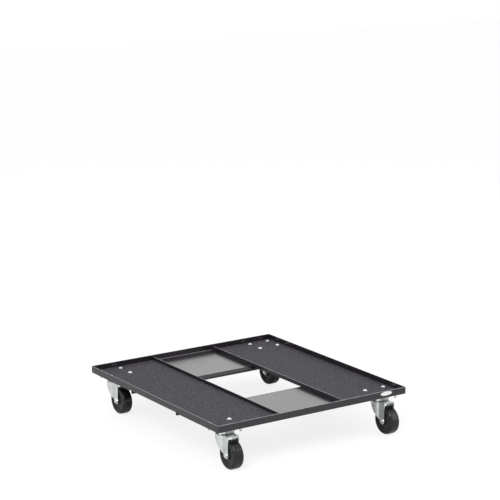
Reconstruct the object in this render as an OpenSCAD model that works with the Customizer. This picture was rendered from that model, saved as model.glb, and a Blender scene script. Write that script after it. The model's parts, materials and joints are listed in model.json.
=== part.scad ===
// Stacking trolley: a low steel deck with two matted side trays, on four swivel casters.
// Origin on the floor under the middle of the deck, +X to the right, +Y to the back, +Z up.
// All four casters trail towards the front, -Y, and the deck's height follows from theirs.

/* [Deck] */
// Width of the deck, side to side
deck_w = 600; // [500:1:800]
// Depth of the deck, front to back
deck_d = 645; // [540:1:850]
// Thickness of the two cross plates, and of the front and back rim bars
plate_t = 2; // [1:0.1:3]
// Height of the front and back rim bars, from the deck's underside
rim_h = 19; // [16:0.5:40]
// Depth of a cross plate and its rim bar, from the bar's outer face to the plate's inner edge
cross_d = 206; // [130:1:250]
// Height of a cross plate's inner flange, from the plate's top to the flange's lower edge
flange_h = 12; // [6:0.5:20]
// Distance from a side of the deck to the end of an inner flange
flange_inset = 7; // [1:0.5:60]
// Inside radius of the flanges' bends
bend_r = 1.5; // [0.5:0.1:2.5]

/* [Trays] */
// Width of a side tray, over the bars along its sides
tray_w = 200; // [150:1:240]
// Thickness of the trays, and of the bars along their sides
tray_t = 1.5; // [1:0.1:3]
// Height of a tray's inner bar, from the tray's underside
inner_bar_h = 11.5; // [6:0.5:25]
// Gap between a tray's end and the front or back rim bar
tray_end_gap = 0.3; // [0.1:0.1:2]

/* [Mats] */
// Thickness of the non-slip mats
mat_t = 1.5; // [1:0.1:3]
// Gap between a mat and the bars round it
mat_gap = 1.5; // [0.2:0.1:5]
// Gap round each bolt head in the mats
mat_hole_gap = 0.5; // [0.3:0.1:3]

/* [Badge] */
// Width of the blank oval badge on the front rim bar
badge_w = 38; // [20:1:60]
// Height of the badge
badge_h = 11; // [6:0.5:13]
// Thickness of the badge
badge_t = 0.8; // [0.4:0.1:2]
// Distance from the deck's right side to the badge's middle
badge_inset = 66; // [40:1:250]
// Distance from the top of the front rim bar to the badge's middle
badge_drop = 7; // [6.5:0.5:9]

/* [Caster fixings] */
// Distance from a side of the deck to the swivel axes
caster_inset_x = 50; // [45:1:90]
// Distance from the front or back of the deck to the swivel axes
caster_inset_y = 46; // [40:1:80]
// Spacing of a caster's bolts along X
bolt_dx = 62; // [58:0.5:66]
// Spacing of a caster's bolts along Y
bolt_dy = 53; // [50:0.5:56]
// Diameter of the caster bolts
bolt_d = 6; // [5:0.5:8]
// Radial gap round a bolt in the sheets that it passes through
bolt_gap = 0.3; // [0.1:0.1:0.6]
// Diameter of a bolt's domed head
bolt_head_d = 14; // [11:0.5:16]
// Height of a bolt's domed head
bolt_head_h = 4; // [3.2:0.1:6]
// Length of a bolt that stands out below its nut
bolt_end = 5; // [1:0.1:8]
// Diameter of the washers under the nuts
washer_d = 12; // [11.5:0.1:13]
// Thickness of the washers
washer_t = 1.2; // [0.8:0.1:2]
// Width of the nuts across their flats
nut_af = 10; // [9.5:0.1:11]
// Height of the nuts
nut_h = 5; // [4:0.1:8]
// Radial gap between a thread and its nut or washer
thread_gap = 0.05; // [0.02:0.01:0.2]

/* [Caster top plates] */
// Length of a top plate, along X
top_l = 77; // [74:1:88]
// Width of a top plate, along Y
top_w = 67; // [64:1:78]
// Thickness of a top plate
top_t = 2.5; // [1.8:0.1:4]
// Corner radius of a top plate
top_corner_r = 6; // [2:0.5:8]
// Distance between the two ends' centres of a bolt slot
slot_travel = 3; // [0.5:0.5:5]
// Width of the flat outside the ball groove in the pressed dish
dish_land = 3.5; // [1:0.1:5]
// Extra radius of the dish where it leaves the plate
dish_flare = 4; // [1:0.5:5]

/* [Swivels] */
// Diameter of the king pin
pin_d = 10; // [7:0.5:12]
// Diameter of the king pin's two heads
pin_head_d = 19; // [14:0.5:22]
// Height of each of the king pin's heads
pin_head_h = 2; // [1.5:0.1:4]
// Radial gap between the king pin and the fork
pin_gap = 1; // [0.4:0.1:1.5]
// Diameter of the bearing balls
ball_d = 4; // [3:0.1:5]
// Least gap between neighbouring balls of a row
ball_space = 1.5; // [0.3:0.1:4]
// Gap between a ball and its grooves
ball_play = 0.25; // [0.1:0.05:0.3]
// Depth that a ball sinks into each groove
groove_depth = 0.75; // [0.4:0.05:0.8]
// Width of the flat between a ball row and the edge of the race or the bend of the crown
race_land = 1.25; // [0.5:0.05:2]
// Height of the lower race
lower_race_h = 3; // [2.5:0.1:6]
// Gap between the lower race and the inside of the fork
race_side_gap = 1.5; // [0.5:0.1:2.5]
// Clearance between the bolt ends and the turning fork
swivel_clear = 4.8; // [1:0.1:8]

/* [Forks] */
// Thickness of the fork's sheet
fork_t = 2; // [1.6:0.1:3]
// Outside diameter of the crown's round cup
crown_d = 50; // [46:1:56]
// Inside radius of the bend from the crown into the legs
fork_bend_r = 1.5; // [0.5:0.1:2]
// Gap between the tyre's side and a leg
side_gap = 1; // [0.6:0.1:3]
// Clearance between the top of the wheel and the king pin's lower head
wheel_clear = 3; // [1:0.1:12]
// Radius of a leg's end round the axle
leg_end_r = 9; // [8:0.5:14]
// Distance from the axle to the front edge of the crown and the legs
leg_nose = 8; // [5.5:0.5:8]
// Distance behind the swivel axis at which a leg's straight rear edge starts
leg_rear = 9; // [4:0.5:18]
// Height of the fork's rear wall, from the top of the crown
skirt_h = 12; // [5:0.5:20]

/* [Wheels] */
// Diameter of the wheels
wheel_d = 75; // [70:0.5:100]
// Width of the tyres
wheel_w = 29; // [26:0.5:36]
// Distance from the swivel axis to the axle
trail = 31.5; // [28:0.5:40]
// Rounding of the tyre's shoulders
shoulder_r = 6; // [2:0.5:8]
// Diameter of the wheel core that carries the tyre
core_d = 54; // [46:0.5:56]
// Width of the ring groove in each side of a tyre
ring_w = 1.6; // [0.6:0.1:2]
// Distance from the core to the ring groove
ring_inset = 3; // [1.5:0.1:4]
// Thickness of the core's rim
rim_t = 4; // [2:0.1:6]
// Depth of the core's rim behind the tyre's side
rim_inset = 1; // [0.2:0.1:3]
// Depth of the core's web behind the tyre's side
web_inset = 3.5; // [1:0.1:10]
// Diameter of the core's hub
hub_d = 22; // [16:0.5:28]
// Gap between a hub's end and a leg
hub_gap = 0.4; // [0.3:0.1:0.8]

/* [Axles] */
// Diameter of the axle bolts
axle_d = 6; // [5:0.5:7]
// Radial gap round an axle bolt in the legs and the sleeve
axle_gap = 0.2; // [0.05:0.05:0.4]
// Outside diameter of the sleeve that a wheel turns on
sleeve_d = 10; // [9:0.5:12]
// Radial running gap between the sleeve and the wheel core
run_gap = 0.05; // [0.02:0.01:0.1]
// Width of an axle bolt's head and nut across the flats
axle_af = 10; // [9.5:0.1:12]
// Height of an axle bolt's head
axle_head_h = 4; // [2:0.1:6]
// Height of an axle nut
axle_nut_h = 5; // [3:0.1:8]
// Length of an axle bolt that stands out past its nut
axle_end = 1.5; // [0.5:0.1:4]

/* [Hidden] */
$fn = 96;
// Cuts run this far past the faces that they open
past = 1;
// Points round the oval badge
badge_points = 64;

// Heights, from the floor up through the caster to the deck
axle_z = wheel_d / 2;
race_gap = ball_d - 2 * groove_depth;
pin_z = wheel_d + wheel_clear;
lower_race_z = pin_z + pin_head_h;
crown_z = lower_race_z + lower_race_h + race_gap;
crown_top = crown_z + fork_t;
dish_z = crown_top + race_gap;
bolt_z = crown_top + swivel_clear;
nut_z = bolt_z + bolt_end;
washer_z = nut_z + nut_h;
top_z = washer_z + washer_t;
deck_z = top_z + top_t;
tray_z = deck_z + plate_t;
mat_z = tray_z + tray_t;

// Half widths of a fork's channel, and radii of its round cup
fork_in = wheel_w / 2 + side_gap;
fork_out = fork_in + fork_t;
cup_out = crown_d / 2;
cup_in = cup_out - fork_t;

// Ball rows below and above the crown, each as radius and height
groove_r = ball_d / 2 + ball_play;
lower_race_r = fork_in - race_side_gap;
lower_row = [lower_race_r - race_land - ball_d / 2, crown_z - race_gap / 2];
upper_row = [cup_in - fork_bend_r - race_land - ball_d / 2, crown_top + race_gap / 2];
dish_r = upper_row[0] + groove_r + dish_land;

// Side view of a leg, as distance forward of the swivel axis and height: the straight rear edge runs from
// the skirt's corner to where it touches the round end
leg_front = trail + leg_nose;
axle_at = [trail, axle_z];
skirt_at = [-leg_rear, crown_top - skirt_h];
leg_chord = axle_at - skirt_at;
leg_angle = atan2(leg_chord.y, leg_chord.x) - asin(leg_end_r / norm(leg_chord));
leg_touch = axle_at + leg_end_r * [sin(leg_angle), -cos(leg_angle)];

// Plan places
tray_d = deck_d - 2 * (plate_t + tray_end_gap);
mat_inset = tray_t + mat_gap;
caster_x = deck_w / 2 - caster_inset_x;
caster_y = deck_d / 2 - caster_inset_y;

// Each corner's name, and its side along X and Y
CORNERS = [
    ["front_left", -1, -1],
    ["front_right", 1, -1],
    ["rear_left", -1, 1],
    ["rear_right", 1, 1],
];
CASTER_PIECES = [
    "top_plate", "king_pin", "lower_race", "bearing_balls", "fork",
    "axle_bolt", "axle_nut", "axle_sleeve", "wheel_core", "tyre",
];

// Place children at a corner's swivel axis
module at_caster(c) {
    translate([c[1] * caster_x, c[2] * caster_y, 0]) children();
}

// Place children at the four bolts of one caster
module at_bolts() {
    for (sx = [-1, 1], sy = [-1, 1])
        translate([sx * bolt_dx / 2, sy * bolt_dy / 2, 0]) children();
}

// Place children at every caster bolt of the deck
module at_all_bolts() {
    for (c = CORNERS)
        at_caster(c) at_bolts() children();
}

// Lay children, drawn about Z, along a caster's axle
module on_axle(c) {
    at_caster(c) translate([0, -trail, axle_z]) rotate([0, 90, 0]) children();
}

// Quarter ring of a sheet bend, in the first quadrant
module bend(t) {
    difference() {
        intersection() {
            circle(r = bend_r + t);
            square(bend_r + t);
        }
        circle(r = bend_r);
    }
}

// Hexagon of a given width across its flats
module hexagon(af) {
    circle(r = af / 2 / cos(30), $fn = 6);
}

// Section of a cross plate, as distance from the deck's edge and height: floor, then flange down
module cross_section() {
    outer = bend_r + plate_t;
    translate([plate_t, 0]) square([cross_d - plate_t - outer, plate_t]);
    translate([cross_d - outer, -bend_r]) bend(plate_t);
    translate([cross_d - plate_t, plate_t - flange_h]) square([plate_t, flange_h - outer]);
}

// Front cross plate, with its flange cut back at both ends
module front_plate_shape() {
    outer = bend_r + plate_t;
    difference() {
        translate([0, -deck_d / 2, deck_z])
            rotate([90, 0, 90]) linear_extrude(deck_w, center = true) cross_section();
        for (s = [-1, 1])
            translate([s * (deck_w / 2 - flange_inset / 2 + past / 2), cross_d - deck_d / 2, deck_z])
                cube([flange_inset + past, 2 * outer, 2 * flange_h], center = true);
        at_all_bolts() translate([0, 0, deck_z - past])
            cylinder(r = bolt_d / 2 + bolt_gap, h = plate_t + 2 * past);
    }
}

module front_cross_plate() {
    color("dimgray") front_plate_shape();
}

module rear_cross_plate() {
    color("dimgray") mirror([0, 1, 0]) front_plate_shape();
}

// Flat bar welded on edge along the front of the front cross plate
module front_bar_shape() {
    translate([-deck_w / 2, -deck_d / 2, deck_z]) cube([deck_w, plate_t, rim_h]);
}

module front_rim_bar() {
    color("#4a474c") front_bar_shape();
}

module rear_rim_bar() {
    color("#4a474c") mirror([0, 1, 0]) front_bar_shape();
}

// Floor of the left tray, between the bars along its sides
module left_tray_shape() {
    difference() {
        translate([tray_t - deck_w / 2, -tray_d / 2, tray_z])
            cube([tray_w - 2 * tray_t, tray_d, tray_t]);
        at_all_bolts() translate([0, 0, tray_z - past])
            cylinder(r = bolt_d / 2 + bolt_gap, h = tray_t + 2 * past);
    }
}

module left_tray() {
    color("#4a474c") left_tray_shape();
}

module right_tray() {
    color("#4a474c") mirror([1, 0, 0]) left_tray_shape();
}

// Flat bar on edge along a side of the left tray, by its outer face's distance from the deck's left side
module side_bar_shape(inset, h) {
    translate([inset - deck_w / 2, -tray_d / 2, tray_z]) cube([tray_t, tray_d, h]);
}

module left_rim_bar() {
    color("#4a474c") side_bar_shape(0, rim_h - plate_t);
}

module right_rim_bar() {
    color("#4a474c") mirror([1, 0, 0]) side_bar_shape(0, rim_h - plate_t);
}

module left_inner_bar() {
    color("#4a474c") side_bar_shape(tray_w - tray_t, inner_bar_h);
}

module right_inner_bar() {
    color("#4a474c") mirror([1, 0, 0]) side_bar_shape(tray_w - tray_t, inner_bar_h);
}

// Mat on the floor of the left tray, with a hole round each bolt head
module left_mat_shape() {
    difference() {
        translate([mat_inset - deck_w / 2, mat_gap - tray_d / 2, mat_z])
            cube([tray_w - 2 * mat_inset, tray_d - 2 * mat_gap, mat_t]);
        at_all_bolts() translate([0, 0, mat_z - past])
            cylinder(r = bolt_head_d / 2 + mat_hole_gap, h = mat_t + 2 * past);
    }
}

module left_mat() {
    color("#504d53") left_mat_shape();
}

module right_mat() {
    color("#504d53") mirror([1, 0, 0]) left_mat_shape();
}

// Blank oval on the outer face of the front rim bar
module blank_badge() {
    color("whitesmoke")
        translate([deck_w / 2 - badge_inset, -deck_d / 2, deck_z + rim_h - badge_drop])
            rotate([90, 0, 0]) linear_extrude(badge_t) polygon([
                for (i = [0:badge_points - 1])
                    let (a = 360 * i / badge_points) [badge_w / 2 * cos(a), badge_h / 2 * sin(a)]
            ]);
}

// Domed bolt, from its end below the nut up to its head on the tray
module caster_bolts() {
    dome_r = (pow(bolt_head_d / 2, 2) + pow(bolt_head_h, 2)) / (2 * bolt_head_h);
    color("silver") at_all_bolts() {
        translate([0, 0, bolt_z]) cylinder(d = bolt_d, h = mat_z - bolt_z);
        translate([0, 0, mat_z]) rotate_extrude() intersection() {
            translate([0, bolt_head_h - dome_r]) circle(r = dome_r);
            square([bolt_head_d / 2, bolt_head_h]);
        }
    }
}

module caster_washers() {
    color("gainsboro") at_all_bolts() translate([0, 0, washer_z]) linear_extrude(washer_t)
        difference() {
            circle(d = washer_d);
            circle(r = bolt_d / 2 + thread_gap);
        }
}

module caster_nuts() {
    color("silver") at_all_bolts() translate([0, 0, nut_z]) linear_extrude(nut_h)
        difference() {
            hexagon(nut_af);
            circle(r = bolt_d / 2 + thread_gap);
        }
}

// Ring that a row of balls runs in
module ball_groove(row) {
    rotate_extrude() translate(row) circle(r = groove_r);
}

// Flat top plate with a pressed dish, whose underside is the upper ball race
module top_plate(c) {
    color("lightgray") at_caster(c) difference() {
        union() {
            translate([0, 0, top_z]) linear_extrude(top_t) {
                square([top_l - 2 * top_corner_r, top_w], center = true);
                square([top_l, top_w - 2 * top_corner_r], center = true);
                for (sx = [-1, 1], sy = [-1, 1])
                    translate([sx * (top_l / 2 - top_corner_r), sy * (top_w / 2 - top_corner_r)])
                        circle(r = top_corner_r);
            }
            translate([0, 0, dish_z]) cylinder(r1 = dish_r, r2 = dish_r + dish_flare, h = top_z - dish_z);
        }
        translate([0, 0, dish_z + top_t])
            cylinder(r1 = dish_r - top_t, r2 = dish_r + dish_flare - top_t, h = deck_z - dish_z - top_t);
        translate([0, 0, dish_z - past]) cylinder(d = pin_d, h = top_t + 2 * past);
        ball_groove(upper_row);
        at_bolts() translate([0, 0, top_z - past]) linear_extrude(top_t + 2 * past) {
            square([slot_travel, bolt_d + 2 * bolt_gap], center = true);
            for (s = [-1, 1])
                translate([s * slot_travel / 2, 0]) circle(r = bolt_d / 2 + bolt_gap);
        }
    }
}

// Rivet through the dish and the lower race, with a head at each end
module king_pin(c) {
    color("silver") at_caster(c) {
        translate([0, 0, pin_z]) cylinder(r1 = pin_d / 2, r2 = pin_head_d / 2, h = pin_head_h);
        translate([0, 0, lower_race_z]) cylinder(d = pin_d, h = dish_z + top_t - lower_race_z);
        translate([0, 0, dish_z + top_t]) cylinder(d = pin_head_d, h = pin_head_h);
    }
}

// Cup under the crown, held by the king pin, that the lower balls run in
module lower_race(c) {
    taper = lower_race_h / 2;
    color("gainsboro") at_caster(c) difference() {
        translate([0, 0, lower_race_z]) {
            cylinder(r1 = lower_race_r - taper, r2 = lower_race_r, h = taper);
            translate([0, 0, taper]) cylinder(r = lower_race_r, h = lower_race_h - taper);
        }
        translate([0, 0, lower_race_z - past]) cylinder(d = pin_d, h = lower_race_h + 2 * past);
        ball_groove(lower_row);
    }
}

// Two rows of loose balls, below and above the crown, each with as many as its ring holds
module bearing_balls(c) {
    color("white") at_caster(c) for (row = [lower_row, upper_row]) {
        count = floor(180 / asin((ball_d + ball_space) / 2 / row[0]));
        for (i = [0:count - 1])
            rotate(360 * i / count) translate([row[0], 0, row[1]]) sphere(d = ball_d);
    }
}

// Area under an arch with rounded top corners
module arch(half_w, top, r) {
    translate([-half_w, 0]) square([2 * half_w, top - r]);
    translate([r - half_w, 0]) square([2 * (half_w - r), top]);
    for (s = [-1, 1])
        translate([s * (half_w - r), top - r]) circle(r = r);
}

// Space under a round cup about the swivel axis, and under a straight channel in front of it
module fork_space(half_w, cup_r, front, top, r) {
    rotate([90, 0, 0]) linear_extrude(front) arch(half_w, top, r);
    rotate_extrude() intersection() {
        arch(cup_r, top, r);
        square([cup_r, top]);
    }
}

// Side view of a fork's low rear wall and straight edges, without the legs' round ends
module fork_side() {
    rear = -cup_out - past;
    top = crown_top + past;
    front_edge = [[leg_front, top], [leg_front, axle_z], axle_at];
    rear_edge = [leg_touch, skirt_at, [rear, skirt_at.y], [rear, top]];
    polygon(concat(front_edge, rear_edge));
}

// Outside of a fork, kept only within a side view given as distance forward and height
module fork_block() {
    intersection() {
        fork_space(fork_out, cup_out, leg_front, crown_top, fork_bend_r + fork_t);
        rotate([90, 0, -90]) linear_extrude(crown_d + past, center = true) children();
    }
}

// Drawn fork: one sheet over the wheel, with a low wall behind and two legs in front
module fork(c) {
    color("gainsboro") at_caster(c) difference() {
        union() {
            fork_block() fork_side();
            fork_block() translate(axle_at) circle(r = leg_end_r);
        }
        fork_space(fork_in, cup_in, leg_front + past, crown_z, fork_bend_r);
        translate([0, 0, crown_z - past]) cylinder(r = pin_d / 2 + pin_gap, h = fork_t + 2 * past);
        ball_groove(lower_row);
        ball_groove(upper_row);
        translate([0, -trail, axle_z]) rotate([0, 90, 0])
            cylinder(r = axle_d / 2 + axle_gap, h = 2 * fork_out + past, center = true);
    }
}

// Hexagon bolt across the fork, its head on the left
module axle_bolt(c) {
    color("silver") on_axle(c) {
        translate([0, 0, -fork_out - axle_head_h]) linear_extrude(axle_head_h) hexagon(axle_af);
        translate([0, 0, -fork_out]) cylinder(d = axle_d, h = 2 * fork_out + axle_nut_h + axle_end);
    }
}

module axle_nut(c) {
    color("silver") on_axle(c) translate([0, 0, fork_out]) linear_extrude(axle_nut_h)
        difference() {
            hexagon(axle_af);
            circle(r = axle_d / 2 + thread_gap);
        }
}

// Tube clamped between the legs, that the wheel turns on
module axle_sleeve(c) {
    color("lightgray") on_axle(c) linear_extrude(2 * fork_in, center = true)
        difference() {
            circle(d = sleeve_d);
            circle(r = axle_d / 2 + axle_gap);
        }
}

// Hub, web and rim as areas from the bore outwards, across the width
module wheel_core(c) {
    bore_r = sleeve_d / 2 + run_gap;
    hub_half = fork_in - hub_gap;
    web_half = wheel_w / 2 - web_inset;
    rim_half = wheel_w / 2 - rim_inset;
    color("#2b2b2e") on_axle(c) rotate_extrude() {
        translate([bore_r, -hub_half]) square([hub_d / 2 - bore_r, 2 * hub_half]);
        translate([bore_r, -web_half]) square([core_d / 2 - bore_r, 2 * web_half]);
        translate([core_d / 2 - rim_t, -rim_half]) square([rim_t, 2 * rim_half]);
    }
}

// Tyre round the core, with rounded shoulders and a ring groove in each side
module tyre(c) {
    half = wheel_w / 2;
    crown_r = wheel_d / 2 - shoulder_r;
    color("#1d1c1f") on_axle(c) rotate_extrude() difference() {
        union() {
            translate([core_d / 2, -half]) square([crown_r - core_d / 2, wheel_w]);
            translate([core_d / 2, shoulder_r - half])
                square([wheel_d / 2 - core_d / 2, wheel_w - 2 * shoulder_r]);
            for (s = [-1, 1])
                translate([crown_r, s * (half - shoulder_r)]) circle(r = shoulder_r);
        }
        translate([0, -half]) square([core_d / 2, wheel_w]);
        for (s = [-1, 1])
            translate([core_d / 2 + ring_inset, s * half]) circle(d = ring_w);
    }
}

front_cross_plate();
rear_cross_plate();
front_rim_bar();
rear_rim_bar();
left_tray();
right_tray();
left_rim_bar();
right_rim_bar();
left_inner_bar();
right_inner_bar();
left_mat();
right_mat();
blank_badge();
caster_bolts();
caster_washers();
caster_nuts();
for (c = CORNERS) {
    top_plate(c);
    king_pin(c);
    lower_race(c);
    bearing_balls(c);
    fork(c);
    axle_bolt(c);
    axle_nut(c);
    axle_sleeve(c);
    wheel_core(c);
    tyre(c);
}
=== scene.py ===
"""Looks of the stacking trolley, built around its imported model: metres, +X right, +Y back, +Z up."""

import json
import math

import bmesh
import bpy
from mathutils import Matrix, Vector


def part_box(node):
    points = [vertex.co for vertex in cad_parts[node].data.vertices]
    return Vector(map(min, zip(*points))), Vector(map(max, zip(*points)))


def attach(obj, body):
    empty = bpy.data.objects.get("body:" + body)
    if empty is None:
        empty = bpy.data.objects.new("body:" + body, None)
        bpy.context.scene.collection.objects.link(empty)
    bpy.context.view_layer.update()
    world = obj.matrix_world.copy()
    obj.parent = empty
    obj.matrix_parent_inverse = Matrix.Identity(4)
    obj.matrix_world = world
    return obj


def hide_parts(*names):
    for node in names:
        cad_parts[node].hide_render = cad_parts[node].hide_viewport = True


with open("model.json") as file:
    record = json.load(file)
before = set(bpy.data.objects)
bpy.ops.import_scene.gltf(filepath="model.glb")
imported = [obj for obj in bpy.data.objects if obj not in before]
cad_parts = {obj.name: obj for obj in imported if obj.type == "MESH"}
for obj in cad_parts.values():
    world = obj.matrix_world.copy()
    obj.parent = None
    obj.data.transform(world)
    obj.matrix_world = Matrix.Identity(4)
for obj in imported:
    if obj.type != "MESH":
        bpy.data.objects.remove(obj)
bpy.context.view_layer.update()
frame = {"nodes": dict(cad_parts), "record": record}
cad = frame["nodes"]

MM = 0.001
CORNERS = ("front_left", "front_right", "rear_left", "rear_right")


# Camera of the photograph: a long lens, turned to the deck's front left corner and looking slightly down

CAMERA_AZIMUTH = math.radians(-34.08)
CAMERA_ELEVATION = math.radians(12.84)
CAMERA_AT = Vector((-2.6859, -3.9911, 1.5751))
CAMERA_LENS_MM = 132.04
SENSOR_MM = 36


def make_camera():
    data = bpy.data.cameras.new("photo_camera")
    data.sensor_width = SENSOR_MM
    data.lens = CAMERA_LENS_MM
    camera = bpy.data.objects.new("photo_camera", data)
    bpy.context.scene.collection.objects.link(camera)
    level = math.cos(CAMERA_ELEVATION)
    right = Vector((math.cos(CAMERA_AZIMUTH), math.sin(CAMERA_AZIMUTH), 0))
    back = Vector((math.sin(CAMERA_AZIMUTH) * level, -math.cos(CAMERA_AZIMUTH) * level,
                   math.sin(CAMERA_ELEVATION)))
    turn = Matrix((right, back.cross(right), back)).transposed().to_4x4()
    camera.matrix_world = Matrix.Translation(CAMERA_AT) @ turn
    bpy.context.scene.camera = camera


make_camera()
bpy.context.scene.view_settings.view_transform = "Standard"


# Colours and nodes

def linear(colour):
    """Linear red, green, blue and alpha of an sRGB hex colour."""
    channels = [int(colour[i:i + 2], 16) / 255 for i in (1, 3, 5)]
    return [c / 12.92 if c <= 0.04045 else ((c + 0.055) / 1.055) ** 2.4 for c in channels] + [1]


def add(tree, kind, feeds=None, **settings):
    """Adds a node: settings go to its properties, feeds to its inputs as values or other nodes' outputs."""
    made = tree.nodes.new(kind)
    for key, value in settings.items():
        setattr(made, key, value)
    for name, source in (feeds or {}).items():
        if isinstance(source, bpy.types.NodeSocket):
            tree.links.new(source, made.inputs[name])
        else:
            made.inputs[name].default_value = source
    return made


def start_material(name, values, feeds):
    """New material with fixed shader values; feeds(tree, place) gives what its other sockets are linked to,
    from the place on the piece."""
    material = bpy.data.materials.new(name)
    material.use_nodes = True
    tree = material.node_tree
    shader = tree.nodes["Principled BSDF"]
    for socket, value in values.items():
        shader.inputs[socket].default_value = value
    place = add(tree, "ShaderNodeTexCoord").outputs["Object"]
    for socket, source in feeds(tree, place).items():
        tree.links.new(source, shader.inputs[socket])
    return material


def per_metre(millimetres):
    """Scale of a noise whose grains are about this size."""
    return 1 / (millimetres * MM)


# Materials: colours from dark to light, roughness from smooth to rough

COAT_COLOURS = ("#1e191f", "#272228")
COAT_CLOUD_MM = 70
COAT_ROUGHNESS = (0.2, 0.28)
COAT_IOR = 1.5
PEEL_MM = 2.4
PEEL_DEPTH = 0.4 * MM
PEEL_STRENGTH = 0.08
# Painted highlight: light grey mixed into the coat where the upright bars' tops and the plate seams catch
# the light
EDGE_HIGHLIGHT_COLOUR = "#a3a0a7"
HIGHLIGHT_SPECK_MM = 5
HIGHLIGHT_SPECK_RANGE = (0.3, 0.7)
HIGHLIGHT_AMOUNT = (0.45, 1.0)


def black_powder_coat():
    # Polyester powder baked on sheet steel: satin black with a faint orange peel, drawn coarser than its
    # real half millimetre so that it shows, and a painted highlight in light grey along the tops of the
    # upright bars
    def feeds(tree, place):
        cloud = add(tree, "ShaderNodeTexNoise",
                    {"Vector": place, "Scale": per_metre(COAT_CLOUD_MM), "Detail": 3}).outputs["Fac"]
        coat = add(tree, "ShaderNodeMix", {"Factor": cloud, "A": linear(COAT_COLOURS[0]),
                                           "B": linear(COAT_COLOURS[1])}, data_type="RGBA")
        speck = add(tree, "ShaderNodeTexNoise",
                    {"Vector": place, "Scale": per_metre(HIGHLIGHT_SPECK_MM), "Detail": 2}).outputs["Fac"]
        uneven = add(tree, "ShaderNodeMapRange",
                     {"Value": speck, "From Min": HIGHLIGHT_SPECK_RANGE[0], "From Max": HIGHLIGHT_SPECK_RANGE[1],
                      "To Min": HIGHLIGHT_AMOUNT[0], "To Max": HIGHLIGHT_AMOUNT[1]}).outputs["Result"]
        # Painted highlight: the faces marked for it take the light grey, unevenly
        painted_highlight = add(tree, "ShaderNodeAttribute", attribute_name="painted_edge_highlight").outputs["Fac"]
        highlight_share = add(tree, "ShaderNodeMath", {0: painted_highlight, 1: uneven}, operation="MULTIPLY").outputs["Value"]
        colour = add(tree, "ShaderNodeMix", {"Factor": highlight_share, "A": coat.outputs["Result"],
                                             "B": linear(EDGE_HIGHLIGHT_COLOUR)}, data_type="RGBA")
        peel = add(tree, "ShaderNodeTexNoise",
                   {"Vector": place, "Scale": per_metre(PEEL_MM), "Detail": 2}).outputs["Fac"]
        bump = add(tree, "ShaderNodeBump",
                   {"Height": peel, "Strength": PEEL_STRENGTH, "Distance": PEEL_DEPTH})
        gloss = add(tree, "ShaderNodeMapRange",
                    {"Value": cloud, "To Min": COAT_ROUGHNESS[0], "To Max": COAT_ROUGHNESS[1]})
        return {"Base Color": colour.outputs["Result"], "Roughness": gloss.outputs["Result"],
                "Normal": bump.outputs["Normal"]}
    return start_material("black_powder_coat", {"IOR": COAT_IOR}, feeds)


MAT_COLOURS = ("#1f1d22", "#514e55")
MAT_MOTTLE_MM = 5
MAT_MOTTLE_RANGE = (0.38, 0.62)
MAT_ROUGHNESS = (0.72, 0.9)
MAT_SPECULAR = 0.35
PEBBLE_MM = 2.2
PEBBLE_DEPTH = 0.5 * MM
PEBBLE_STRENGTH = 0.35


def mat_rubber():
    # Calendered non-slip rubber sheet: charcoal, matte and mottled, with a pebbled grain drawn at about
    # twice its real millimetre so that it shows
    def feeds(tree, place):
        mottle = add(tree, "ShaderNodeTexNoise", {"Vector": place, "Scale": per_metre(MAT_MOTTLE_MM),
                                                  "Detail": 5, "Roughness": 0.65}).outputs["Fac"]
        wide = add(tree, "ShaderNodeMapRange", {"Value": mottle, "From Min": MAT_MOTTLE_RANGE[0],
                                                "From Max": MAT_MOTTLE_RANGE[1]}).outputs["Result"]
        colour = add(tree, "ShaderNodeMix", {"Factor": wide, "A": linear(MAT_COLOURS[0]),
                                             "B": linear(MAT_COLOURS[1])}, data_type="RGBA")
        pebble = add(tree, "ShaderNodeTexVoronoi", {"Vector": place, "Scale": per_metre(PEBBLE_MM)},
                     feature="SMOOTH_F1").outputs["Distance"]
        bump = add(tree, "ShaderNodeBump", {"Height": pebble, "Strength": PEBBLE_STRENGTH,
                                            "Distance": PEBBLE_DEPTH}, invert=True)
        dull = add(tree, "ShaderNodeMapRange",
                   {"Value": mottle, "To Min": MAT_ROUGHNESS[0], "To Max": MAT_ROUGHNESS[1]})
        return {"Base Color": colour.outputs["Result"], "Roughness": dull.outputs["Result"],
                "Normal": bump.outputs["Normal"]}
    return start_material("pebbled_rubber_sheet", {"Specular IOR Level": MAT_SPECULAR}, feeds)


SHEET_ZINC_COLOURS = ("#c8cdcd", "#dadddc")
SHEET_ZINC_ROUGHNESS = (0.26, 0.36)
BOLT_ZINC_COLOURS = ("#dcdfdf", "#eceeed")
BOLT_ZINC_ROUGHNESS = (0.16, 0.24)
ZINC_CLOUD_MM = 14
ZINC_CLOUD_RANGE = (0.35, 0.65)
ZINC_GLOSS_RANGE = (0.15, 0.4)
DRAWN_LINE_MM = (0.9, 0.9, 26)
DRAWN_LINE_DEPTH = 0.1 * MM
DRAWN_LINE_STRENGTH = 0.05


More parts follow.
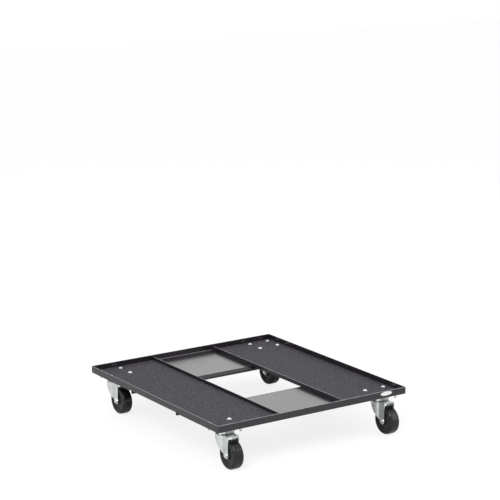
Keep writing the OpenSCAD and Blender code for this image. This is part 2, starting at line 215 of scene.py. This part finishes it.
def bright_zinc(name, colours, roughness):
    # Electroplated zinc with a clear blue passivate on pressed steel: silvery, faintly clouded, with the
    # lines that drawing leaves up and down the sheet
    def feeds(tree, place):
        cloud = add(tree, "ShaderNodeTexNoise",
                    {"Vector": place, "Scale": per_metre(ZINC_CLOUD_MM), "Detail": 4}).outputs["Fac"]
        wide = add(tree, "ShaderNodeMapRange", {"Value": cloud, "From Min": ZINC_CLOUD_RANGE[0],
                                                "From Max": ZINC_CLOUD_RANGE[1]}).outputs["Result"]
        colour = add(tree, "ShaderNodeMix", {"Factor": wide, "A": linear(colours[0]),
                                             "B": linear(colours[1])}, data_type="RGBA")
        along = add(tree, "ShaderNodeMapping",
                    {"Vector": place, "Scale": [per_metre(size) for size in DRAWN_LINE_MM]})
        lines = add(tree, "ShaderNodeTexNoise",
                    {"Vector": along.outputs["Vector"], "Scale": 1, "Detail": 2}).outputs["Fac"]
        both = add(tree, "ShaderNodeMath", {0: cloud, 1: lines}, operation="MULTIPLY").outputs["Value"]
        gloss = add(tree, "ShaderNodeMapRange",
                    {"Value": both, "From Min": ZINC_GLOSS_RANGE[0], "From Max": ZINC_GLOSS_RANGE[1],
                     "To Min": roughness[0], "To Max": roughness[1]})
        bump = add(tree, "ShaderNodeBump",
                   {"Height": lines, "Strength": DRAWN_LINE_STRENGTH, "Distance": DRAWN_LINE_DEPTH})
        return {"Base Color": colour.outputs["Result"], "Roughness": gloss.outputs["Result"],
                "Normal": bump.outputs["Normal"]}
    return start_material(name, {"Metallic": 1}, feeds)


BALL_COLOURS = ("#b9bbbd", "#dcdddd")
BALL_HAZE_MM = 1.5
BALL_ROUGHNESS = (0.08, 0.3)


def polished_ball_steel():
    # Through-hardened steel balls, ground and lapped: near mirror, with a thin haze of grease
    def feeds(tree, place):
        haze = add(tree, "ShaderNodeTexNoise",
                   {"Vector": place, "Scale": per_metre(BALL_HAZE_MM)}).outputs["Fac"]
        colour = add(tree, "ShaderNodeMix", {"Factor": haze, "A": linear(BALL_COLOURS[0]),
                                             "B": linear(BALL_COLOURS[1])}, data_type="RGBA")
        gloss = add(tree, "ShaderNodeMapRange",
                    {"Value": haze, "To Min": BALL_ROUGHNESS[0], "To Max": BALL_ROUGHNESS[1]})
        return {"Base Color": colour.outputs["Result"], "Roughness": gloss.outputs["Result"]}
    return start_material("polished_ball_steel", {"Metallic": 1}, feeds)


TYRE_COLOURS = ("#151316", "#242126")
TYRE_BLOOM_MM = 11
TYRE_BLOOM_RANGE = (0.35, 0.75)
TYRE_ROUGHNESS = (0.1, 0.22)
TYRE_SPECULAR = 0.35
TYRE_GRAIN_MM = 1.6
TYRE_GRAIN_DEPTH = 0.3 * MM
TYRE_GRAIN_STRENGTH = 0.06


def tyre_rubber():
    # Solid black rubber, moulded in a polished tool and little used: a low shine, with a grey bloom in
    # patches and fine grain
    def feeds(tree, place):
        bloom = add(tree, "ShaderNodeTexNoise",
                    {"Vector": place, "Scale": per_metre(TYRE_BLOOM_MM), "Detail": 4}).outputs["Fac"]
        wide = add(tree, "ShaderNodeMapRange", {"Value": bloom, "From Min": TYRE_BLOOM_RANGE[0],
                                                "From Max": TYRE_BLOOM_RANGE[1]}).outputs["Result"]
        colour = add(tree, "ShaderNodeMix", {"Factor": wide, "A": linear(TYRE_COLOURS[0]),
                                             "B": linear(TYRE_COLOURS[1])}, data_type="RGBA")
        grain = add(tree, "ShaderNodeTexNoise",
                    {"Vector": place, "Scale": per_metre(TYRE_GRAIN_MM), "Detail": 2}).outputs["Fac"]
        bump = add(tree, "ShaderNodeBump",
                   {"Height": grain, "Strength": TYRE_GRAIN_STRENGTH, "Distance": TYRE_GRAIN_DEPTH})
        gloss = add(tree, "ShaderNodeMapRange",
                    {"Value": bloom, "To Min": TYRE_ROUGHNESS[0], "To Max": TYRE_ROUGHNESS[1]})
        return {"Base Color": colour.outputs["Result"], "Roughness": gloss.outputs["Result"],
                "Normal": bump.outputs["Normal"]}
    return start_material("tyre_rubber", {"Specular IOR Level": TYRE_SPECULAR}, feeds)


CORE_COLOURS = ("#19181b", "#272629")
CORE_FLOW_MM = 18
CORE_ROUGHNESS = (0.42, 0.6)


def moulded_nylon():
    # Black injection-moulded nylon: duller than the tyre, with soft flow marks
    def feeds(tree, place):
        flow = add(tree, "ShaderNodeTexNoise", {"Vector": place, "Scale": per_metre(CORE_FLOW_MM),
                                                "Detail": 3, "Distortion": 0.6}).outputs["Fac"]
        colour = add(tree, "ShaderNodeMix", {"Factor": flow, "A": linear(CORE_COLOURS[0]),
                                             "B": linear(CORE_COLOURS[1])}, data_type="RGBA")
        gloss = add(tree, "ShaderNodeMapRange",
                    {"Value": flow, "To Min": CORE_ROUGHNESS[0], "To Max": CORE_ROUGHNESS[1]})
        return {"Base Color": colour.outputs["Result"], "Roughness": gloss.outputs["Result"]}
    return start_material("moulded_nylon", {}, feeds)


BADGE_COLOURS = ("#e3e2e0", "#f0efee")
BADGE_CLOUD_MM = 8
BADGE_ROUGHNESS = (0.2, 0.3)
BADGE_COAT = {"Coat Weight": 0.6, "Coat Roughness": 0.08}


def badge_resin():
    # White domed label under clear resin: glossy and almost even
    def feeds(tree, place):
        cloud = add(tree, "ShaderNodeTexNoise",
                    {"Vector": place, "Scale": per_metre(BADGE_CLOUD_MM)}).outputs["Fac"]
        colour = add(tree, "ShaderNodeMix", {"Factor": cloud, "A": linear(BADGE_COLOURS[0]),
                                             "B": linear(BADGE_COLOURS[1])}, data_type="RGBA")
        gloss = add(tree, "ShaderNodeMapRange",
                    {"Value": cloud, "To Min": BADGE_ROUGHNESS[0], "To Max": BADGE_ROUGHNESS[1]})
        return {"Base Color": colour.outputs["Result"], "Roughness": gloss.outputs["Result"]}
    return start_material("badge_resin", BADGE_COAT, feeds)


finishes = {
    "deck_paint": black_powder_coat(),
    "mat_rubber": mat_rubber(),
    "badge_plastic": badge_resin(),
    "bolt_zinc": bright_zinc("zinc_plated_bolt_steel", BOLT_ZINC_COLOURS, BOLT_ZINC_ROUGHNESS),
    "caster_zinc": bright_zinc("zinc_plated_sheet_steel", SHEET_ZINC_COLOURS, SHEET_ZINC_ROUGHNESS),
    "ball_steel": polished_ball_steel(),
    "core_nylon": moulded_nylon(),
    "tyre_rubber": tyre_rubber(),
}
for part in frame["record"]["subparts"]:
    mesh = cad[part["node"]].data
    mesh.materials.clear()
    mesh.materials.append(finishes[part["material_slot"]])


# Pieces

SMOOTH_UP_TO = math.radians(40)
FLAT_UP_TO = math.radians(0.5)
MERGE = 0.001 * MM
ROUND_SEGMENTS = 3
ROUND_PROFILE = 0.5
# How far down from the top the painted highlight reaches, in rounding widths
HIGHLIGHT_REACH = 1.2


def new_piece(name, shape, slot, body, *nodes):
    """Object of a finished mesh, riding on a body and standing for CAD nodes."""
    mesh = bpy.data.meshes.new(name)
    shape.to_mesh(mesh)
    shape.free()
    mesh.shade_smooth()
    mesh.set_sharp_from_angle(angle=SMOOTH_UP_TO)
    mesh.materials.append(finishes[slot])
    piece = bpy.data.objects.new(name, mesh)
    bpy.context.scene.collection.objects.link(piece)
    level = piece.modifiers.new("even_shading", "WEIGHTED_NORMAL")
    level.keep_sharp = True
    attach(piece, body)
    if nodes:
        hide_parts(*nodes)


def rounded_copy(node, width, highlit=False):
    """Shape of a CAD node with its sharp edges rounded, and its top marked for a painted highlight if
    asked.
    """
    shape = bmesh.new()
    shape.from_mesh(cad[node].data)
    bmesh.ops.remove_doubles(shape, verts=shape.verts, dist=MERGE)
    bmesh.ops.dissolve_limit(shape, angle_limit=FLAT_UP_TO, verts=shape.verts, edges=shape.edges)
    sharp = [e for e in shape.edges if len(e.link_faces) == 2 and e.calc_face_angle() > SMOOTH_UP_TO]
    bmesh.ops.bevel(shape, geom=sharp, offset=width, segments=ROUND_SEGMENTS, profile=ROUND_PROFILE,
                    affect="EDGES", clamp_overlap=True)
    # Marks the top faces that get the painted highlight in the coat
    painted_highlight = shape.faces.layers.float.new("painted_edge_highlight")
    edge = max(v.co.z for v in shape.verts) - HIGHLIGHT_REACH * width
    for face in shape.faces:
        face[painted_highlight] = float(highlit and min(v.co.z for v in face.verts) > edge)
    return shape


SHEET_ROUND = 0.6 * MM
ROLL_R = 5 * MM
ROLL_SWEEP = math.radians(270)
ROLL_STEPS = 18
PLATE_T = 2 * MM


def rolled_plate(node, side):
    """Cross plate whose flange is rolled up towards the opening, so that its lower edge is safe to hold."""
    shape = rounded_copy(node, SHEET_ROUND)
    low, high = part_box(node)
    start = low.z + ROLL_R
    face = high.y if side > 0 else low.y
    everything = shape.verts[:] + shape.edges[:] + shape.faces[:]
    cut = bmesh.ops.bisect_plane(shape, geom=everything, dist=MERGE, plane_co=(0, 0, start),
                                 plane_no=(0, 0, -1), clear_outer=True)
    centre = (0, face + side * (ROLL_R - PLATE_T), start)
    swept = bmesh.ops.spin(shape, geom=cut["geom_cut"], cent=centre, axis=(side, 0, 0),
                           angle=ROLL_SWEEP, steps=ROLL_STEPS)
    last = [part for part in swept["geom_last"] if isinstance(part, bmesh.types.BMEdge)]
    bmesh.ops.holes_fill(shape, edges=last)
    bmesh.ops.recalc_face_normals(shape, faces=shape.faces)
    return shape


UPRIGHT_BARS = ("front_rim_bar", "rear_rim_bar", "left_rim_bar", "right_rim_bar",
                "left_inner_bar", "right_inner_bar")
MAT_ROUND = 0.4 * MM
ZINC_ROUND = 0.4 * MM
CORE_ROUND = 0.5 * MM
for node, side in (("front_cross_plate", 1), ("rear_cross_plate", -1)):
    new_piece(node + "_coated", rolled_plate(node, side), "deck_paint", "deck", node)
for node in ("left_tray", "right_tray"):
    new_piece(node + "_coated", rounded_copy(node, SHEET_ROUND), "deck_paint", "deck", node)
for node in UPRIGHT_BARS:
    # The upright bars get a painted highlight along their tops
    new_piece(node + "_coated", rounded_copy(node, SHEET_ROUND, highlit=True), "deck_paint", "deck", node)
for node in ("left_mat", "right_mat"):
    new_piece(node + "_sheet", rounded_copy(node, MAT_ROUND), "mat_rubber", "deck", node)
for corner in CORNERS:
    node = corner + "_top_plate"
    new_piece(node + "_plated", rounded_copy(node, ZINC_ROUND), "caster_zinc", "deck", node)
    node = corner + "_fork"
    new_piece(node + "_plated", rounded_copy(node, ZINC_ROUND), "caster_zinc", corner + "_swivel", node)
    node = corner + "_wheel_core"
    new_piece(node + "_moulded", rounded_copy(node, CORE_ROUND), "core_nylon", corner + "_wheel", node)


# Turned and hexagon shapes, drawn round Z

def turned(rings, segments, bored=False):
    """Closed shape through rings of (radius, height), where both may be functions of the angle; a bored
    one joins its last ring to its first, and any other has flat ends."""
    shape = bmesh.new()
    loops = []
    for radius, height in rings:
        loop = []
        for i in range(segments):
            angle = 2 * math.pi * i / segments
            r = radius(angle) if callable(radius) else radius
            z = height(angle) if callable(height) else height
            loop.append(shape.verts.new((r * math.cos(angle), r * math.sin(angle), z)))
        loops.append(loop)
    for low, high in zip(loops, loops[1:] + loops[:1] if bored else loops[1:]):
        for i in range(segments):
            j = (i + 1) % segments
            shape.faces.new((low[i], low[j], high[j], high[i]))
    if not bored:
        shape.faces.new(loops[0])
        shape.faces.new(loops[-1])
    bmesh.ops.recalc_face_normals(shape, faces=shape.faces)
    return shape


HEX_SEGMENTS = 48
HEX_CHAMFER_SHARE = 0.47
HEX_CHAMFER_SLOPE = math.tan(math.radians(30))


def hex_side(across):
    """Radius of a hexagon at an angle."""
    def radius(angle):
        return across / 2 / math.cos((angle + math.pi / 6) % (math.pi / 3) - math.pi / 6)
    return radius


def hex_chamfer(across, height, up):
    """Height at an angle where a cone cuts a hexagon's corners: its flat face is at the height given."""
    side = hex_side(across)

    def cut(angle):
        return height - up * HEX_CHAMFER_SLOPE * (side(angle) - HEX_CHAMFER_SHARE * across)
    return cut


def hex_nut(across, bore_r, low, high):
    flat_r = HEX_CHAMFER_SHARE * across
    side = hex_side(across)
    rings = [(bore_r, low), (flat_r, low), (side, hex_chamfer(across, low, -1)),
             (side, hex_chamfer(across, high, 1)), (flat_r, high), (bore_r, high)]
    return turned(rings, HEX_SEGMENTS, bored=True)


THREAD_PITCH = 1 * MM
THREAD_DEPTH = 0.45 * MM


def thread_rings(radius, low, high):
    """Threaded end as rings at the thread's pitch, from its chamfered tip upwards."""
    rings = [(radius - 2 * THREAD_DEPTH, low), (radius - THREAD_DEPTH, low + THREAD_DEPTH)]
    for turn in range(int((high - low) / THREAD_PITCH) - 1):
        at = low + THREAD_DEPTH + turn * THREAD_PITCH
        rings += [(radius, at + THREAD_PITCH / 2), (radius - THREAD_DEPTH, at + THREAD_PITCH)]
    return rings + [(radius, high)]


# Repeated fasteners and welds

def make_repeat_tree():
    """Puts an object at every point, each one turned by its own chance angle about Z."""
    tree = bpy.data.node_groups.new("repeat_fastener", "GeometryNodeTree")
    for name, kind in (("Points", "Geometry"), ("Fastener", "Object"), ("Seed", "Int"),
                       ("Turn", "Vector"), ("Finish", "Material")):
        tree.interface.new_socket(name, in_out="INPUT", socket_type="NodeSocket" + kind)
    tree.interface.new_socket("Fasteners", in_out="OUTPUT", socket_type="NodeSocketGeometry")
    given = add(tree, "NodeGroupInput").outputs
    single = add(tree, "GeometryNodeObjectInfo", {"Object": given["Fastener"], "As Instance": True})
    turn = add(tree, "FunctionNodeRandomValue", {"Max": given["Turn"], "Seed": given["Seed"]},
               data_type="FLOAT_VECTOR")
    placed = add(tree, "GeometryNodeInstanceOnPoints",
                 {"Points": given["Points"], "Rotation": turn.outputs["Value"],
                  "Instance": single.outputs["Geometry"]})
    real = add(tree, "GeometryNodeRealizeInstances", {"Geometry": placed.outputs["Instances"]})
    coated = add(tree, "GeometryNodeSetMaterial",
                 {"Geometry": real.outputs["Geometry"], "Material": given["Finish"]})
    add(tree, "NodeGroupOutput", {"Fasteners": coated.outputs["Geometry"]})
    return tree


repeat_tree = make_repeat_tree()


def repeated(shape, places, slot, seed, turn_share=1):
    """Shape made of copies of another one at each of the places, turned by up to a share of a full turn."""
    single_mesh = bpy.data.meshes.new("single")
    shape.to_mesh(single_mesh)
    shape.free()
    single = bpy.data.objects.new("single", single_mesh)
    points = bpy.data.meshes.new("places")
    points.from_pydata(places, [], [])
    carrier = bpy.data.objects.new("places", points)
    bpy.context.scene.collection.objects.link(carrier)
    modifier = carrier.modifiers.new("repeat", "NODES")
    modifier.node_group = repeat_tree
    values = {"Fastener": single, "Seed": seed, "Turn": (0, 0, 2 * math.pi * turn_share),
              "Finish": finishes[slot]}
    for socket in repeat_tree.interface.items_tree:
        if socket.name in values:
            modifier[socket.identifier] = values[socket.name]
    graph = bpy.context.evaluated_depsgraph_get()
    mesh = bpy.data.meshes.new_from_object(carrier.evaluated_get(graph), depsgraph=graph)
    result = bmesh.new()
    result.from_mesh(mesh)
    bpy.data.objects.remove(carrier)
    bpy.data.objects.remove(single)
    bpy.data.meshes.remove(mesh)
    return result


def island_centres(node):
    """Middle of each separate solid of a CAD node, in plan."""
    shape = bmesh.new()
    shape.from_mesh(cad[node].data)
    bmesh.ops.remove_doubles(shape, verts=shape.verts, dist=MERGE)
    left = set(shape.verts)
    centres = []
    while left:
        found = {left.pop()}
        edge = list(found)
        while edge:
            for link in edge.pop().link_edges:
                for vert in link.verts:
                    if vert in left:
                        left.remove(vert)
                        found.add(vert)
                        edge.append(vert)
        xs = [v.co.x for v in found]
        ys = [v.co.y for v in found]
        centres.append(((min(xs) + max(xs)) / 2, (min(ys) + max(ys)) / 2, 0))
    shape.free()
    return sorted(centres)


BOLT_R = 3 * MM
HEAD_R = 7 * MM
HEAD_EDGE = 0.35 * MM
DOME_INSET = 0.105 * MM
DOME_STEPS = 8
TURNED_SEGMENTS = 40
BORE_GAP = 0.05 * MM
WASHER_R = 6 * MM
WASHER_ROUND = 0.25 * MM
NUT_ACROSS = 10 * MM


def caster_bolt():
    """Dome-headed bolt: threaded end, shank, and a low dome with a small rounded edge."""
    tip, top = (corner.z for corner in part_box("caster_bolts"))
    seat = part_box("left_mat")[0].z
    dome_h = top - seat
    dome_r = (HEAD_R ** 2 + dome_h ** 2) / (2 * dome_h)
    rings = thread_rings(BOLT_R, tip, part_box("caster_nuts")[1].z)
    rings += [(BOLT_R, seat), (HEAD_R - HEAD_EDGE, seat)]
    widest = math.asin((HEAD_R - DOME_INSET) / dome_r)
    for step in range(DOME_STEPS):
        angle = widest * (1 - step / DOME_STEPS)
        rings.append((dome_r * math.sin(angle), top - dome_r * (1 - math.cos(angle))))
    return turned(rings, TURNED_SEGMENTS)


def caster_washer():
    low, high = (corner.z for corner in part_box("caster_washers"))
    bore = BOLT_R + BORE_GAP
    rings = [(bore, low), (WASHER_R - WASHER_ROUND, low), (WASHER_R, low + WASHER_ROUND),
             (WASHER_R, high - WASHER_ROUND), (WASHER_R - WASHER_ROUND, high), (bore, high)]
    return turned(rings, TURNED_SEGMENTS, bored=True)


def caster_nut():
    low, high = (corner.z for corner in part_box("caster_nuts"))
    return hex_nut(NUT_ACROSS, BOLT_R + BORE_GAP, low, high)


singles = {"caster_bolts": caster_bolt(), "caster_washers": caster_washer(), "caster_nuts": caster_nut()}
for seed, (node, shape) in enumerate(singles.items()):
    fasteners = repeated(shape, island_centres(node), "bolt_zinc", seed)
    new_piece(node + "_turned", fasteners, "bolt_zinc", "deck", node)


# Axle bolts and nuts, tyres

AXLE_R = 3 * MM
AXLE_ACROSS = 10 * MM
AXLE_HEAD = 4 * MM


def along_x(shape, node):
    """Turns a shape from Z to X and puts it on the middle of a CAD node."""
    low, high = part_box(node)
    centre = Matrix.Translation((0, (low.y + high.y) / 2, (low.z + high.z) / 2))
    turn = Matrix.Rotation(math.pi / 2, 4, "Y")
    bmesh.ops.transform(shape, matrix=centre @ turn, verts=shape.verts)
    return shape


def axle_bolt(head, end, nut):
    """Hexagon bolt from the face of its head to its threaded end, which starts inside the nut."""
    seat = head + AXLE_HEAD
    side = hex_side(AXLE_ACROSS)
    rings = [(HEX_CHAMFER_SHARE * AXLE_ACROSS, head), (side, hex_chamfer(AXLE_ACROSS, head, -1)),
             (side, seat)]
    thread = [(r, end + nut - z) for r, z in thread_rings(AXLE_R, nut, end)]
    return turned(rings + [(AXLE_R, seat)] + thread[::-1], HEX_SEGMENTS)


TYRE_SEGMENTS = 128
SHOULDER_R = 6 * MM
SHOULDER_STEPS = 10
GROOVE_AT = 3 * MM
GROOVE_R = 0.8 * MM
GROOVE_STEPS = 6
LINE_AT = (1.1 * MM, 4.4 * MM)
LINE_W = 0.5 * MM
LINE_DEPTH = 0.2 * MM
PARTING_W = 0.6 * MM
PARTING_DEPTH = 0.12 * MM


def tyre_shape(half, inner_r, outer_r):
    """Round tyre: side rings, rounded shoulders and the parting line of its mould round the tread."""
    side = [(inner_r, half)]
    for line in sorted(LINE_AT + (GROOVE_AT,)):
        centre = inner_r + line
        if line == GROOVE_AT:
            arc = [math.pi * k / GROOVE_STEPS for k in range(GROOVE_STEPS + 1)]
            side += [(centre - GROOVE_R * math.cos(a), half - GROOVE_R * math.sin(a)) for a in arc]
        else:
            side += [(centre - LINE_W / 2, half), (centre, half - LINE_DEPTH),
                     (centre + LINE_W / 2, half)]
    for step in range(SHOULDER_STEPS + 1):
        angle = math.pi / 2 * step / SHOULDER_STEPS
        side.append((outer_r - SHOULDER_R * (1 - math.sin(angle)),
                     half - SHOULDER_R * (1 - math.cos(angle))))
    side += [(outer_r, PARTING_W), (outer_r - PARTING_DEPTH, 0)]
    other = [(r, -x) for r, x in side[-2::-1]]
    return turned(side + other, TYRE_SEGMENTS, bored=True)


for corner in CORNERS:
    swivel = corner + "_swivel"
    bolt = corner + "_axle_bolt"
    nut = corner + "_axle_nut"
    tyre = corner + "_tyre"
    low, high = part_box(bolt)
    nut_low, nut_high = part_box(nut)
    shape = along_x(axle_bolt(low.x, high.x, nut_low.x), bolt)
    new_piece(bolt + "_turned", shape, "bolt_zinc", swivel, bolt)
    shape = along_x(hex_nut(AXLE_ACROSS, AXLE_R + BORE_GAP, nut_low.x, nut_high.x), nut)
    new_piece(nut + "_turned", shape, "bolt_zinc", swivel, nut)
    low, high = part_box(tyre)
    core_low, core_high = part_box(corner + "_wheel_core")
    shape = tyre_shape((high.x - low.x) / 2, (core_high.z - core_low.z) / 2, (high.z - low.z) / 2)
    bmesh.ops.translate(shape, vec=(0, 0, (low.x + high.x) / 2), verts=shape.verts)
    new_piece(tyre + "_moulded", along_x(shape, tyre), "tyre_rubber", corner + "_wheel", tyre)


# Badge

BADGE_SEGMENTS = 64
BADGE_DOME = ((1, 0), (1, 0.5), (0.985, 0.68), (0.95, 0.82), (0.85, 0.92), (0.6, 0.98), (0.2, 1))


def badge_shape():
    """Blank oval with a domed face: each ring is a share of its outline and of its height."""
    low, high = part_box("blank_badge")
    wide = (high.x - low.x) / 2
    tall = (high.z - low.z) / 2
    thick = high.y - low.y

    def oval(share):
        def radius(angle):
            return share * wide * tall / math.hypot(tall * math.cos(angle), wide * math.sin(angle))
        return radius
    shape = turned([(oval(share), thick * height) for share, height in BADGE_DOME], BADGE_SEGMENTS)
    place = Matrix.Translation(((low.x + high.x) / 2, high.y, (low.z + high.z) / 2))
    turn = Matrix.Rotation(math.pi / 2, 4, "X")
    bmesh.ops.transform(shape, matrix=place @ turn, verts=shape.verts)
    return shape


new_piece("blank_badge_domed", badge_shape(), "badge_plastic", "deck", "blank_badge")


# Welds

BEAD_SEGMENTS = 14
BEAD_RIPPLES = 7
BEAD_STEPS_PER_RIPPLE = 4
BEAD_BLUNTNESS = 4
RIPPLE_SHARE = 0.12


def weld_bead(radius, length):
    """Weld run along Z with round ends and the ripples that its pools leave, its middle at the origin."""
    steps = BEAD_RIPPLES * BEAD_STEPS_PER_RIPPLE
    rings = []
    for step in range(1, steps):
        along = 2 * step / steps - 1
        wave = math.cos(2 * math.pi * step / BEAD_STEPS_PER_RIPPLE)
        ripple = 1 - RIPPLE_SHARE * (1 + wave) / 2
        rings.append((radius * ripple * math.sqrt(1 - along ** BEAD_BLUNTNESS), along * length / 2))
    return turned(rings, BEAD_SEGMENTS)


CORNER_BEAD_R = 1.5 * MM
CORNER_BEAD = 7 * MM
CORNER_BEAD_DROP = (4.5 * MM, 14 * MM)
CORNER_BEAD_INSET = 1.2 * MM


def corner_beads():
    """Upright beads that close each open corner of the rim, at two heights."""
    low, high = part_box("left_rim_bar")
    rim_low, rim_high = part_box("front_rim_bar")
    xs = (rim_low.x + CORNER_BEAD_INSET, rim_high.x - CORNER_BEAD_INSET)
    places = [(x, y, rim_high.z - drop) for x in xs for y in (low.y, high.y) for drop in CORNER_BEAD_DROP]
    return repeated(weld_bead(CORNER_BEAD_R, CORNER_BEAD), places, "deck_paint", len(places))


STITCH_R = 1.1 * MM
STITCH = 22 * MM
STITCH_SPACING = 105 * MM
STITCH_SINK = 0.3 * MM


def spaced(low, high):
    """Places between two ends, at about the stitches' spacing and with half of it left at both ends."""
    gaps = round((high - low) / STITCH_SPACING)
    return [low + (high - low) * (i + 0.5) / gaps for i in range(gaps)]


def tray_stitches():
    """Short runs that hold the side bars and inner bars to the trays' floors."""
    run = weld_bead(STITCH_R, STITCH)
    bmesh.ops.rotate(run, matrix=Matrix.Rotation(math.pi / 2, 3, "X"), verts=run.verts)
    low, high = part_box("left_tray")
    edges = (low.x + STITCH_SINK, high.x - STITCH_SINK)
    places = [(side * x, y, high.z + STITCH_SINK) for side in (-1, 1) for x in edges
              for y in spaced(low.y, high.y)]
    return repeated(run, places, "deck_paint", 0, turn_share=0)


SEAM_R = 2.2 * MM
SEAM_SINK = 0.3 * MM
SEAM_STEPS = 6
SEAM_SECTIONS = 80
SEAM_SWELL = 0.08
SEAM_WAVES = 9
# Share of painted highlight in the seams' coat
SEAM_HIGHLIGHT = 0.3


def plate_seams():
    """Run of weld in the corner between each cross plate and its rim bar: a hollow face that swells a
    little, with a share of painted highlight in its coat."""
    low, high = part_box("front_cross_plate")
    end = -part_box("left_inner_bar")[1].x
    arc = [math.pi / 2 * k / SEAM_STEPS for k in range(SEAM_STEPS + 1)]
    shape = bmesh.new()
    painted_highlight = shape.faces.layers.float.new("painted_edge_highlight")
    for side in (1, -1):
        loops = []
        for i in range(SEAM_SECTIONS + 1):
            along = i / SEAM_SECTIONS
            r = SEAM_R * (1 + SEAM_SWELL * math.sin(2 * math.pi * SEAM_WAVES * along))
            section = [(-SEAM_SINK, -SEAM_SINK), (r, -SEAM_SINK)]
            section += [(r * (1 - math.sin(a)), r * (1 - math.cos(a))) for a in arc]
            section.append((-SEAM_SINK, r))
            x = side * end * (2 * along - 1)
            loops.append([shape.verts.new((x, side * (low.y + y), high.z + z)) for y, z in section])
        for near, far in zip(loops, loops[1:]):
            for i in range(len(near)):
                j = (i + 1) % len(near)
                shape.faces.new((near[i], near[j], far[j], far[i]))[painted_highlight] = SEAM_HIGHLIGHT
        shape.faces.new(loops[0])
        shape.faces.new(loops[-1])
    bmesh.ops.recalc_face_normals(shape, faces=shape.faces)
    return shape


new_piece("corner_weld_beads", corner_beads(), "deck_paint", "deck")
new_piece("tray_stitch_welds", tray_stitches(), "deck_paint", "deck")
new_piece("cross_plate_seams", plate_seams(), "deck_paint", "deck")


# Stage and light

WHITE = linear("#ffffff")
FLOOR_COLOUR = "#f4f4f4"
FLOOR_SIDE = 16
FLOOR_GAP = 0.2 * MM
GLOW_STRENGTH = 1.12
GLOW_SEEN = 0.72
GLOW_MIRRORED = 0.1


def make_floor():
    """Pale floor: white to the camera and a little lifted in mirrors, with a soft shadow left in it."""
    bpy.ops.mesh.primitive_plane_add(size=FLOOR_SIDE, location=(0, 0, -FLOOR_GAP))
    floor = bpy.context.object
    floor.name = "floor"
    material = bpy.data.materials.new("pale_floor")
    material.use_nodes = True
    tree = material.node_tree
    tree.nodes.clear()
    seen = add(tree, "ShaderNodeLightPath").outputs
    matte = add(tree, "ShaderNodeBsdfDiffuse", {"Color": linear(FLOOR_COLOUR)})
    glow = add(tree, "ShaderNodeEmission", {"Color": WHITE, "Strength": GLOW_STRENGTH})
    direct = add(tree, "ShaderNodeMath", {0: seen["Is Camera Ray"], 1: GLOW_SEEN}, operation="MULTIPLY")
    mirror = add(tree, "ShaderNodeMath", {0: seen["Is Glossy Ray"], 1: seen["Is Transmission Ray"]},
                 operation="MAXIMUM")
    share = add(tree, "ShaderNodeMath",
                {0: mirror.outputs["Value"], 1: GLOW_MIRRORED, 2: direct.outputs["Value"]},
                operation="MULTIPLY_ADD")
    mixed = add(tree, "ShaderNodeMixShader",
                {0: share.outputs["Value"], 1: matte.outputs["BSDF"], 2: glow.outputs["Emission"]})
    add(tree, "ShaderNodeOutputMaterial", {"Surface": mixed.outputs["Shader"]})
    floor.data.materials.append(material)


WORLD_AS_LAMP = 0.7
WORLD_AS_SEEN = 1


def make_world():
    """White studio all round, a little dimmer as a lamp than as it is seen."""
    world = bpy.data.worlds.new("white_studio")
    bpy.context.scene.world = world
    world.use_nodes = True
    tree = world.node_tree
    tree.nodes.clear()
    seen = add(tree, "ShaderNodeLightPath").outputs
    direct = add(tree, "ShaderNodeMath", {0: seen["Is Camera Ray"], 1: seen["Is Glossy Ray"]},
                 operation="MAXIMUM")
    any_view = add(tree, "ShaderNodeMath",
                   {0: direct.outputs["Value"], 1: seen["Is Transmission Ray"]}, operation="MAXIMUM")
    strength = add(tree, "ShaderNodeMapRange", {"Value": any_view.outputs["Value"],
                                                "To Min": WORLD_AS_LAMP, "To Max": WORLD_AS_SEEN})
    sky = add(tree, "ShaderNodeBackground", {"Color": WHITE, "Strength": strength.outputs["Result"]})
    add(tree, "ShaderNodeOutputWorld", {"Surface": sky.outputs["Background"]})


# Each softbox's place, the point it is turned to, its side in metres and its power in watts
SOFTBOXES = {
    "key_softbox": ((-2.4, -1.6, 2.6), (0, 0, 0.1), 1.6, 60),
    "side_softbox": ((2.4, -1.8, 1.4), (0, 0, 0.05), 2.2, 20),
    "rear_softbox": ((2.0, 2.4, 1.0), (0, 0, 0.1), 1.4, 5),
}


def make_softbox(name, place, aim, side, watts):
    data = bpy.data.lights.new(name, "AREA")
    data.shape = "SQUARE"
    data.size = side
    data.energy = watts
    lamp = bpy.data.objects.new(name, data)
    lamp.location = place
    lamp.rotation_euler = (Vector(aim) - Vector(place)).to_track_quat("-Z", "Y").to_euler()
    bpy.context.scene.collection.objects.link(lamp)


make_floor()
make_world()
for name, (place, aim, side, watts) in SOFTBOXES.items():
    make_softbox(name, place, aim, side, watts)
